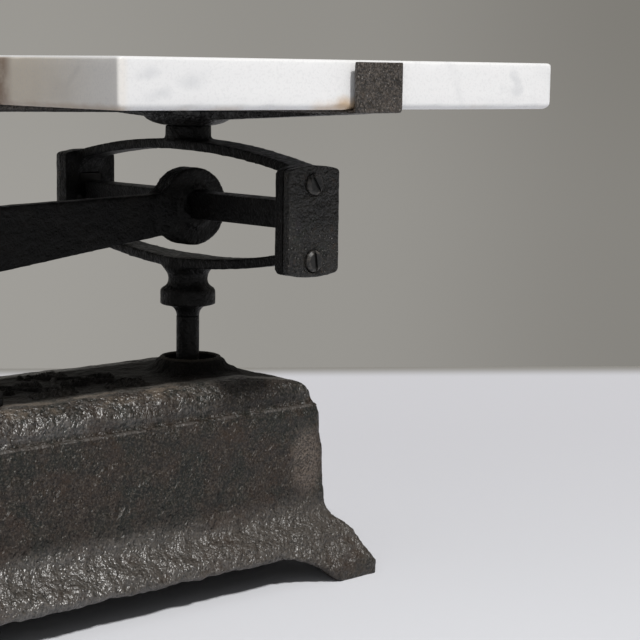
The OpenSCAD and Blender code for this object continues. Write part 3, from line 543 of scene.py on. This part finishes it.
    pits = g.ramp(g.cells(450.0), 0.05, 0.45)
    sparkle = g.ramp(worn, 0.0, 1.0, 0.55, 1.0)
    rolling = g.bump(g.noise(120.0, 2.0, 0.5), 0.0035)
    normal = g.bump(pits, 0.00025, under=g.bump(speck, 0.00068, sparkle, rolling))
    normal = g.bump(pebble, 0.0015, under=normal)
    plain = g.math("MULTIPLY", g.math("SUBTRACT", 1.0, worn), 0.12)
    rough = g.math("ADD", g.ramp(crust, 0.0, 1.0, 0.34, 0.27), plain)
    rough = g.math("MAXIMUM", rough, g.ramp(field, 0.0, 1.0, 0.0, 0.60))
    level = g.ramp(worn, 0.0, 1.0, 0.34, g.ramp(right, 0.0, 1.0, 0.9, 0.45))
    level = g.times(level, g.ramp(field, 0.0, 1.0, 1.0, 0.15))
    return g.finish(Base_Color=tint, Roughness=rough, Normal=normal, Specular_IOR_Level=level)


def worked_steel(name, light, dark):
    """Turned or filed steel with fine tool marks, stained from the light tint to the dark one."""
    g = Surface(name)
    marks = g.noise(700.0, 4.0, 0.6)
    tint = g.mix(g.ramp(g.noise(90.0, 4.0), 0.4, 0.7), light, dark)
    rough = g.ramp(marks, 0.3, 0.7, 0.38, 0.55)
    return g.finish(Base_Color=tint, Roughness=rough, Normal=g.bump(marks, 0.00006), Metallic=0.85)


def marble():
    """White marble with soft grey clouds and a few veins, stained low down and on its left face."""
    white = (0.83, 0.83, 0.83, 1)
    pale_grey = (0.68, 0.69, 0.70, 1)
    vein_grey = (0.45, 0.46, 0.48, 1)
    cloud_grey = (0.42, 0.44, 0.47, 1)
    streak_grey = (0.36, 0.38, 0.42, 1)
    aged = (0.77, 0.66, 0.50, 1)
    end_grey = (0.58, 0.59, 0.61, 1)
    grain_grey = (0.56, 0.56, 0.57, 1)
    dirt_brown = (0.26, 0.17, 0.12, 1)
    side_brown = (0.45, 0.33, 0.22, 1)
    foot_brown = (0.62, 0.50, 0.36, 1)
    lug_patch_brown = (0.63, 0.42, 0.22, 1)
    g = Surface("marble")

    # Coordinates of the slab before its turn in the cradle, as they are and with ragged outlines
    from_post = g.vector("SUBTRACT", g.place, (GOODS_X, 0, 0))
    turn = {"Vector": from_post, "Angle": SLAB_TURN}
    local = g.add("ShaderNodeVectorRotate", turn, rotation_type="Z_AXIS").outputs["Vector"]
    ragged = g.add("ShaderNodeTexNoise", {"Vector": g.place, "Scale": 70.0, "Detail": 4.0})
    stray = g.vector("SUBTRACT", ragged.outputs["Color"], (0.5, 0.5, 0.5))
    place = g.vector("ADD", local, g.vector("MULTIPLY", stray, (0.02, 0.02, 0.012)))
    x, y, z = (g.axis(name, local) for name in "XYZ")

    cloud = g.ramp(g.noise(13.0, 6.0, 0.62, 0.8), 0.50, 0.80)
    ridge = g.math("ABSOLUTE", g.math("SUBTRACT", g.noise(7.0, 4.0, 0.55, 0.6), 0.5))
    vein = g.times(g.ramp(ridge, 0.018, 0.0), g.ramp(g.noise(14.0, 3.0), 0.45, 0.62))
    tint = g.lay(white, cloud, 0.5, pale_grey)
    tint = g.lay(tint, vein, 0.35, vein_grey)

    clouds = 0.0
    for across, up, across_r, up_r in SLAB_CLOUDS:
        spot = g.blob(place, (across, SLAB_FRONT, up), (across_r, 0.02, up_r), 0.1)
        clouds = g.math("MAXIMUM", clouds, spot)
    tint = g.lay(tint, clouds, 0.30, cloud_grey)

    # A shade and a slanted streak on the left face
    shade = g.blob(place, *SLAB_SHADE, 0.1)
    slope = g.math("ADD", z, g.math("MULTIPLY", y, STREAK_SLOPE))
    streak = g.times(g.band(slope, *STREAK_BAND, 0.0022), g.blob(place, *SLAB_STREAK, 0.5))
    tint = g.lay(tint, g.math("MAXIMUM", shade, streak), 0.32, streak_grey)

    # The left face is warmer, the front's left end greyer, and all of it has a fine grain
    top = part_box("marble_slab")[1][2]
    left = g.times(g.ramp(x, SLAB_LEFT + 0.006, SLAB_LEFT + 0.002), g.ramp(z, top - 0.0002, top - 0.0015))
    tint = g.lay(tint, left, g.ramp(y, -0.135, -0.050, 0.25, 0.80), aged)
    tint = g.mix(g.ramp(x, -0.035, -0.115, 0.0, 0.16), tint, end_grey)
    tint = g.mix(g.ramp(g.noise(850.0, 1.0), 0.50, 0.66, 0.0, 0.16), tint, grain_grey)

    # Dirt at the left face's far end and along the lower edges, and a brown patch beside the lug
    patchy = g.ramp(g.noise(60.0, 5.0, 0.65), 0.25, 0.55, 0.4, 1.0)
    dirt = g.times(g.times(left, g.ramp(y, *SLAB_DIRT_Y)), patchy)
    tint = g.lay(tint, dirt, 0.9, dirt_brown)
    foot = g.math("ADD", z, g.math("MULTIPLY", g.noise(90.0, 4.0), 0.004))
    low = g.ramp(foot, *SLAB_LOW_Z)
    tint = g.lay(tint, g.times(low, left), 0.55, side_brown)
    tint = g.lay(tint, low, g.ramp(g.noise(45.0, 4.0), 0.50, 0.68, 0.0, 0.45), foot_brown)
    # A brown patch beside the lug
    tint = g.lay(tint, g.blob(place, *SLAB_BROWN_PATCH, 0.15), 0.80, lug_patch_brown)

    normal = g.bump(g.noise(1500.0, 2.0), 0.00004, under=g.bump(g.noise(160.0, 4.0), 0.00010))
    return g.finish(Base_Color=tint, Roughness=0.36, Normal=normal)


def paint(material, names):
    """Gives each named CAD node this one material."""
    for name in names:
        data = frame["nodes"][name].data
        data.materials.clear()
        data.materials.append(material)


def weld(piece):
    """Joins the split vertices of a mesh from CAD."""
    made = piece.modifiers.new("weld", "WELD")
    made.merge_threshold = WELD_GAP


def soften(name, width, segments=3):
    """Rounds the edges of a turned or cut piece: joins the split vertices, then bevels what is sharp."""
    piece = frame["nodes"][name]
    weld(piece)
    bevel = piece.modifiers.new("bevel", "BEVEL")
    bevel.width = width
    bevel.segments = segments
    bevel.limit_method = "ANGLE"
    bevel.angle_limit = BEVEL_FROM
    bevel.use_clamp_overlap = True


def remesh(piece, size, passes):
    """Rebuilds the piece from voxels of a size, then smooths it by so many passes."""
    made = piece.modifiers.new("remesh", "REMESH")
    made.mode = "VOXEL"
    made.voxel_size = size
    made.use_smooth_shade = True
    smooth = piece.modifiers.new("smooth", "SMOOTH")
    smooth.factor = 0.5
    smooth.iterations = passes


def cast_skin(name, voxel, depth=0.0003, passes=2):
    """Gives a casting rounded edges and a slightly lumpy skin that stays inside its drawn faces."""
    piece = frame["nodes"][name]
    weld(piece)
    remesh(piece, voxel, passes)
    for label, size, share in CAST_LUMPS:
        texture = bpy.data.textures.new(f"{name}_{label}", "CLOUDS")
        texture.noise_scale = size
        texture.noise_depth = 1
        push = piece.modifiers.new(label, "DISPLACE")
        push.texture = texture
        push.texture_coords = "LOCAL"
        push.strength = depth * share
        push.mid_level = CAST_INWARD


def smoothstep(value, low, high):
    """A smooth change from 0, at low, to 1, at high. low may be above high."""
    t = np.clip((value - low) / (high - low), 0.0, 1.0)
    return t * t * (3 - 2 * t)


def evaluated(piece):
    """The piece's mesh as its modifiers leave it."""
    graph = bpy.context.evaluated_depsgraph_get()
    graph.update()
    return bpy.data.meshes.new_from_object(piece.evaluated_get(graph))


def fractal(points, size, shift):
    """Noise about zero at each point, with lumps of the given size in two octaves."""
    start = Vector((shift, 0, 0))
    return np.array([noise.fractal(p / size + start, 1.0, 2.0, 2) for p in points])


def vectors(items, what):
    """A vector of each of a mesh's items, as rows of numbers."""
    flat = np.empty(len(items) * 3)
    items.foreach_get(what, flat)
    return flat.reshape(-1, 3)


def cut_finer(mesh, chosen):
    """The mesh as a bmesh, with its faces whose corners are all chosen cut into nine."""
    cut = bmesh.new()
    cut.from_mesh(mesh)
    edges = set()
    for face in cut.faces:
        if all(chosen(v) for v in face.verts):
            edges.update(face.edges)
    bmesh.ops.subdivide_edges(cut, edges=list(edges), cuts=2, use_grid_fill=True)
    return cut


def cut_ledge(mesh):
    """Cuts the outer faces around the ledge into smaller ones and lays them on its outline."""
    low, high = LEDGE_BAND
    inner_x, inner_y, _ = HOLLOW_HIGH

    def near(v):
        return low < v.co.z < high and (abs(v.co.x) > inner_x or abs(v.co.y) > inner_y)

    cut = cut_finer(mesh, near)
    heights, insets = zip(*LEDGE_OUTLINE)
    for v in cut.verts:
        if low < v.co.z < high:
            inset = np.interp(v.co.z, heights, insets)
            gap_x = WALL_X + inset - abs(v.co.x)
            gap_y = WALL_Y + inset - abs(v.co.y)
            if abs(gap_y) < LEDGE_REACH and gap_x > LEDGE_CORNER:
                v.co.y = math.copysign(WALL_Y + inset, v.co.y)
            elif abs(gap_x) < LEDGE_REACH and gap_y > LEDGE_CORNER:
                v.co.x = math.copysign(WALL_X + inset, v.co.x)
    cut.to_mesh(mesh)
    cut.free()


def sharpen_collars(mesh, drawing):
    """Cuts the faces around both collars into smaller ones and lays them back on the drawn casting."""
    faces = [tuple(f.vertices) for f in drawing.polygons]
    tree = BVHTree.FromPolygons([v.co for v in drawing.vertices], faces)

    def near(v):
        return v.co.z > COLLAR_LOW and math.hypot(abs(v.co.x) - COLLAR_X, v.co.y) < COLLAR_REACH

    cut = cut_finer(mesh, near)
    for v in cut.verts:
        if near(v):
            v.co = tree.find_nearest(v.co)[0]
    cut.to_mesh(mesh)
    cut.free()


def make_base():
    """The casting again with a rough skin: lumps on its outside, none in its hollow or at its bores."""
    source = frame["nodes"]["base_casting"].data
    mesh = bpy.data.meshes.new("base_drawing")
    corners = vectors(source.vertices, "co").tolist()
    mesh.from_pydata(corners, [], [tuple(f.vertices) for f in source.polygons])
    draft = link("base_draft", mesh)
    weld(draft)
    remesh(draft, BASE_VOXEL, 2)
    fine = evaluated(draft)
    bpy.data.objects.remove(draft)
    cut_ledge(fine)
    sharpen_collars(fine, mesh)

    co = vectors(fine.vertices, "co")
    normal = vectors(fine.vertex_normals, "vector")
    x, y, z = np.abs(co[:, 0]), np.abs(co[:, 1]), co[:, 2]
    hollow = np.zeros(len(co), bool)
    low_z = 0.0
    for half_x, half_y, high_z in (HOLLOW_LOW, HOLLOW_HIGH):
        hollow |= (x < half_x) & (y < half_y) & (z >= low_z) & (z < high_z)
        low_z = high_z
    outside = 1.0 - hollow

    # Calm around the collars and at the ledge, rougher on the skirt, and sunk on the top
    calm = smoothstep(np.hypot(x - COLLAR_X, y), *COLLAR_CALM) * (1 - COLLAR_LUMPS) + COLLAR_LUMPS
    at_ledge = smoothstep(z, *LEDGE_CALM_LOW) * smoothstep(z, *LEDGE_CALM_TOP)
    calm *= 1.0 - LEDGE_CALM * at_ledge
    skirt = 1.0 + SKIRT_LUMPS * smoothstep(z, *SKIRT_RISE)
    points = [Vector(p) for p in co]
    height = np.full(len(co), BASE_SWELL)
    for depth, size, start, rougher in BASE_LUMPS:
        height += depth * fractal(points, size, start) * (skirt if rougher else 1.0)
    height -= TOP_SINK * smoothstep(z, *TOP_EDGE)
    push = normal * (height * outside * calm)[:, None]
    push[:, 2] *= smoothstep(z, *SOLE_FLAT_Z)
    co += push

    # Full soles, flat on the floor
    co[:, 2] -= SOLE_DROP * outside * smoothstep(z, *SOLE_DROP_Z)
    co[:, 2] = np.maximum(co[:, 2], 0.0)
    fine.vertices.foreach_set("co", co.ravel())
    fine.update()
    base = link("base_rough", fine)
    base.data.materials.clear()
    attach(base, "base")
    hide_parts("base_casting")
    return base


def slab_profile(thick):
    """Points up the slab's side: inset, height from its underside, and how much wear counts there."""
    turns = [math.pi / 2 * i / SLAB_ROUND_STEPS for i in range(SLAB_ROUND_STEPS + 1)]
    low_round = [(1 - math.sin(a), 1 - math.cos(a), math.cos(a)) for a in turns]
    top_round = [(1 - math.cos(a), 1 - math.sin(a), math.sin(a)) for a in turns]
    flat = thick - SLAB_LOW_R - SLAB_TOP_R
    made = [(SLAB_LOW_R * inset, SLAB_LOW_R * up, wear) for inset, up, wear in low_round]
    made += [(0.0, SLAB_LOW_R + share * flat, 0.0) for share in SLAB_FACE_SHARES]
    made += [(SLAB_TOP_R * inset, thick - SLAB_TOP_R * down, wear) for inset, down, wear in top_round]
    return made


def slab_outline(inset):
    """Points around the slab, inset by so much, with round corners and even steps along its sides."""
    half_x, half_y = -SLAB_LEFT - inset, -SLAB_FRONT - inset

    def corner_point(corner, turn):
        side_x, side_y = SLAB_CORNERS[corner % 4]
        return (side_x * (half_x - SLAB_CORNER_R) + SLAB_CORNER_R * math.cos(turn),
                side_y * (half_y - SLAB_CORNER_R) + SLAB_CORNER_R * math.sin(turn))

    made = []
    for corner in range(4):
        for i in range(SLAB_CORNER_STEPS + 1):
            made.append(corner_point(corner, math.pi / 2 * (corner + i / SLAB_CORNER_STEPS)))
        start = made[-1]
        end = corner_point(corner + 1, math.pi / 2 * (corner + 1))
        for i in range(1, SLAB_SIDE_STEPS):
            share = i / SLAB_SIDE_STEPS
            made.append((start[0] + share * (end[0] - start[0]), start[1] + share * (end[1] - start[1])))
    return made


def make_slab():
    """The slab again with worn edges: small round ones on top, wider and chipped ones below."""
    low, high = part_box("marble_slab")
    bottom, thick = low[2], high[2] - low[2]
    profile = slab_profile(thick)
    points = []
    for inset, up, wear in profile:
        edge_wear = wear * (1.0 if up < thick / 2 else TOP_EDGE_WEAR)
        for x, y in slab_outline(inset):
            spot = Vector((x, y, up))
            chip = max(0.0, noise.noise(spot / CHIP_SIZE) - CHIP_FROM) * CHIP_DEPTH
            chip += abs(noise.noise(spot / EDGE_WAVE_SIZE)) * EDGE_WAVE_DEPTH
            loss = chip * edge_wear + abs(noise.noise(spot / FACE_WAVE_SIZE)) * FACE_WAVE_DEPTH
            keep = 1 - loss / math.hypot(x, y)
            points.append((x * keep, y * keep, bottom + up))
    count = len(points) // len(profile)
    faces = [tuple(reversed(range(count))), tuple(range(len(points) - count, len(points)))]
    for k in range(len(profile) - 1):
        for i in range(count):
            j = (i + 1) % count
            faces.append((k * count + i, k * count + j, (k + 1) * count + j, (k + 1) * count + i))
    mesh = bpy.data.meshes.new("slab_worn")
    mesh.from_pydata(points, [], faces)
    mesh.transform(Matrix.Translation((GOODS_X, 0, 0)) @ Matrix.Rotation(-SLAB_TURN, 4, "Z"))
    mesh.polygons.foreach_set("use_smooth", [False, False] + [True] * (len(faces) - 2))
    slab = link("slab_worn", mesh)
    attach(slab, "marble_slab")
    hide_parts("marble_slab")
    return slab


def dome(distance, radius, height):
    """A rounded lump: height in the middle, nothing from the radius on."""
    inside = np.clip(1 - (distance / radius) ** 2, 0, 1)
    return height * np.sqrt(inside)


def leaf(x, y, foot, turn, length, width):
    """A pointed leaf with a groove down its middle and ribs to both sides."""
    along = (x - foot[0]) * math.cos(turn) + (y - foot[1]) * math.sin(turn)
    across = -(x - foot[0]) * math.sin(turn) + (y - foot[1]) * math.cos(turn)
    share = np.clip(along / length, 0, 1)
    half = width * np.sin(math.pi * share ** 0.8) + 1e-6
    inside = (along > 0) & (along < length) & (np.abs(across) < half)
    swell = np.sqrt(np.clip(1 - (across / half) ** 2, 0, 1)) * (0.65 + 0.35 * np.sin(math.pi * share))
    groove = 0.45 * np.exp(-(across / LEAF_GROOVE_R) ** 2)
    ribs = 0.12 * np.cos((along - 1.2 * np.abs(across)) / LEAF_RIB_STEP * 2 * math.pi)
    return np.where(inside, LEAF_UP * np.clip(swell - groove + ribs, 0, 1.2), 0)


def vine(x, y):
    """How far the vine, its leaves and its berries stand up at each point of the field."""
    turn = 2 * math.pi / VINE_WAVE
    swing = VINE_SWING * np.sin(turn * (x - FIELD_X[0]))
    slope = VINE_SWING * turn * np.cos(turn * (x - FIELD_X[0]))
    height = dome(np.abs(y - swing) / np.sqrt(1 + slope ** 2), VINE_R, VINE_UP)
    for i in range(VINE_CRESTS):
        crest_x = FIELD_X[0] + VINE_WAVE * (0.25 + 0.5 * i)
        up = 1 if i % 2 == 0 else -1
        crest = (crest_x, up * (VINE_SWING - CREST_IN))
        hollow_side = (crest_x - 0.001, up * HOLLOW_SIDE_Y)
        for foot, leaves in ((crest, CREST_LEAVES), (hollow_side, HOLLOW_LEAVES)):
            for angle, length, width in leaves:
                height = np.maximum(height, leaf(x, y, foot, up * math.radians(angle), length, width))
        for dx, dy in BERRIES:
            spot = np.hypot(x - crest_x - dx, y - up * (VINE_SWING + dy))
            height = np.maximum(height, dome(spot, BERRY_R, BERRY_UP))
    return height


def make_ornament(name, side):
    """A cast vine with leaves and berries on one half of the top, as one closed piece let into it."""
    xs = np.arange(FIELD_X[0], FIELD_X[1], FIELD_STEP)
    ys = np.arange(-FIELD_Y, FIELD_Y + FIELD_STEP / 2, FIELD_STEP)
    x, y = np.meshgrid(xs, ys, indexing="ij")
    fade = smoothstep(xs, FIELD_X[0], FIELD_X[0] + FIELD_FADE)
    fade *= smoothstep(xs, FIELD_X[1], FIELD_X[1] - FIELD_FADE)
    spots = [[Vector((a, b, 3.0)) / ORNAMENT_WEAR_SIZE for b in ys] for a in xs]
    wear = np.array([[1 + ORNAMENT_WEAR * noise.noise(spot) for spot in row] for row in spots])
    height = vine(x, y) * fade[:, None] * wear

    rows, columns = x.shape
    top = np.stack([side * x, y, BASE_TOP - FIELD_SINK + height * (1 + FIELD_SINK / ORNAMENT_UP)], axis=-1)
    under = np.stack([side * x, y, np.full_like(x, BASE_TOP - 2 * FIELD_SINK)], axis=-1)
    index = np.arange(rows * columns).reshape(rows, columns)
    below = index + rows * columns
    faces = []
    for a in range(rows - 1):
        for b in range(columns - 1):
            faces.append((index[a, b], index[a + 1, b], index[a + 1, b + 1], index[a, b + 1]))
            faces.append((below[a, b], below[a, b + 1], below[a + 1, b + 1], below[a + 1, b]))
    for a in range(rows - 1):
        faces.append((index[a + 1, 0], index[a, 0], below[a, 0], below[a + 1, 0]))
        faces.append((index[a, -1], index[a + 1, -1], below[a + 1, -1], below[a, -1]))
    for b in range(columns - 1):
        faces.append((index[0, b], index[0, b + 1], below[0, b + 1], below[0, b]))
        faces.append((index[-1, b + 1], index[-1, b], below[-1, b], below[-1, b + 1]))
    if side < 0:
        faces = [face[::-1] for face in faces]
    mesh = bpy.data.meshes.new(name)
    points = np.concatenate([top.reshape(-1, 3), under.reshape(-1, 3)])
    mesh.from_pydata(points.tolist(), [], [tuple(int(i) for i in face) for face in faces])
    mesh.shade_smooth()
    piece = link(name, mesh)
    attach(piece, "base")
    return piece


def make_stage():
    """A pale table with the photo's back edge."""
    along = Vector((math.cos(TABLE_EDGE_TURN), math.sin(TABLE_EDGE_TURN), 0))
    front = Vector((along.y, -along.x, 0))
    place = Vector((CAMERA_FROM_POST[0] + GOODS_X, CAMERA_FROM_POST[1], 0))
    edge = place + Vector((TABLE_EDGE_POINT[0], TABLE_EDGE_POINT[1], 0))
    half = TABLE_SIZE / 2
    corners = [(-half, 0, 0), (half, 0, 0), (half, -TABLE_SIZE, 0), (-half, -TABLE_SIZE, 0)]
    mesh = bpy.data.meshes.new("table")
    mesh.from_pydata(corners, [], [(3, 2, 1, 0)])
    table = link("table", mesh)
    table.matrix_world = Matrix.Translation(edge) @ rotation_from_axes(along, -front, Vector((0, 0, 1)))
    g = Surface("table_top")
    fade = g.ramp(g.axis("Y"), -TABLE_EDGE_BLUR, 0.0)
    # Painted light: the table paler towards the camera
    pale = g.mix(g.ramp(g.axis("Y"), *TABLE_NEAR_Y), TABLE_COLOUR, TABLE_LIT_NEAR_COLOUR)
    colour = g.mix(fade, pale, HORIZON_COLOUR)
    table.data.materials.append(g.finish(Base_Color=colour, Roughness=0.85, Specular_IOR_Level=0.2))


def make_world():
    """A pale room for the light, and a warm grey backdrop that darkens to the right where it is seen."""
    world = bpy.data.worlds.new("studio")
    bpy.context.scene.world = world
    world.use_nodes = True
    world.node_tree.nodes.clear()
    g = Graph(world.node_tree, "Generated")
    level_right = (math.cos(CAMERA_HEADING), -math.sin(CAMERA_HEADING), 0)
    across = g.vector("DOT_PRODUCT", g.place, level_right, "Value")
    left_half = g.mix(g.ramp(across, -BACKDROP_HALF, 0.0), BACKDROP_LEFT, BACKDROP_MIDDLE)
    backdrop = g.mix(g.ramp(across, 0.0, BACKDROP_HALF), left_half, BACKDROP_RIGHT)
    glow = g.ramp(g.axis("Z"), *BACKDROP_GLOW_Z, 0.0, BACKDROP_GLOW)
    added = g.add("ShaderNodeCombineXYZ", {0: glow, 1: glow, 2: glow}).outputs[0]
    seen = g.add("ShaderNodeBackground", {"Color": g.vector("ADD", backdrop, added)})
    left = g.ramp(g.axis("Z"), *ROOM_LEFT_RISE, ROOM_LEFT_LOW, 1.0)
    left = g.times(g.ramp(g.axis("X"), *ROOM_LEFT_X), left)
    room = g.ramp(g.axis("Z"), *ROOM_RISE, ROOM_LOW, ROOM_STRENGTH)
    strength = g.math("ADD", g.math("MULTIPLY", left, ROOM_LEFT), room)
    lit = g.add("ShaderNodeBackground", {"Color": ROOM_COLOUR, "Strength": strength})
    ray = g.add("ShaderNodeLightPath").outputs
    mirrored = g.math("ADD", ray["Is Glossy Ray"], ray["Is Transmission Ray"])
    direct = g.math("ADD", ray["Is Camera Ray"], mirrored, clamp=True)
    pick = g.add("ShaderNodeMixShader", {0: direct, 1: lit.outputs[0], 2: seen.outputs[0]})
    g.add("ShaderNodeOutputWorld", {"Surface": pick.outputs[0]})


def make_lights():
    """One far lamp, high in front."""
    data = bpy.data.lights.new("key", "SUN")
    data.energy = KEY_STRENGTH
    data.angle = KEY_WIDTH
    data.color = KEY_COLOUR
    key = link("key", data)
    key.rotation_euler = (-Vector(KEY_DIRECTION)).to_track_quat("-Z", "Y").to_euler()


make_camera()
make_stage()
make_world()
make_lights()

# Black iron painted darker still as shade, for the parts that stand mostly in shade
shaded_iron = black_iron()
paint(shaded_iron, ["beam", "stay", "stay_bracket", "fulcrum_pillar", "goods_knife_bar", "weights_knife_bar"])
plate = plate_iron()
paint(plate, ["fulcrum_cover_front", "fulcrum_cover_back", "weights_plate"])
paint(worked_steel("worked_steel", STEEL_LIGHT, STEEL_DARK),
      ["pillar_bolts", "pillar_nuts", "stay_pin", "fulcrum_knife_bar", "goods_leg_pin", "weights_leg_pin",
       "goods_cradle_screw", "weights_cradle_screw"])
paint(worked_steel("bearing_steel", BEARING_LIGHT, BEARING_DARK),
      ["fulcrum_bearings", "goods_bearings", "weights_bearings"])
paint(screw_iron("fulcrum_screws", 0.0, FULCRUM_Z, -1), ["fulcrum_cover_screws"])
for end, x, z in ((GOODS_END, GOODS_X, GOODS_Z), (WEIGHTS_END, WEIGHTS_X, WEIGHTS_Z)):
    paint(shaded_iron, [end + "carrier_frame", end + "leg"])
    paint(plate, [end + "end_plate_front", end + "end_plate_back"])
    paint(cradle_iron(end + "cradle_iron", z + CRADLE_TOP), [end + "cradle"])
    paint(screw_iron(end + "screws", x, z, 1), [end + "plate_screws"])
make_slab().data.materials.append(marble())

for end, coarse in ((GOODS_END, 1.0), (WEIGHTS_END, WEIGHTS_COARSE)):
    cast_skin(end + "carrier_frame", 0.0010 * coarse, passes=1)
    cast_skin(end + "end_plate_front", 0.0008 * coarse)
    cast_skin(end + "end_plate_back", 0.0008 * coarse)
    cast_skin(end + "cradle", 0.0009 * coarse, 0.0002)
    soften(end + "plate_screws", 0.0003, 2)
    soften(end + "knife_bar", 0.0005, 2)
cast_skin("beam", 0.0012, passes=1)
cast_skin("fulcrum_pillar", 0.0013, passes=1)
cast_skin("fulcrum_cover_front", 0.0009)
cast_skin("fulcrum_cover_back", 0.0009)
for name in ("weights_plate", "stay", "stay_bracket"):
    soften(name, 0.0008)

rough = base_iron()
make_base().data.materials.append(rough)
for ornament in (make_ornament("goods_ornament", 1), make_ornament("weights_ornament", -1)):
    ornament.data.materials.append(rough)

bpy.context.scene.view_settings.view_transform = "Standard"
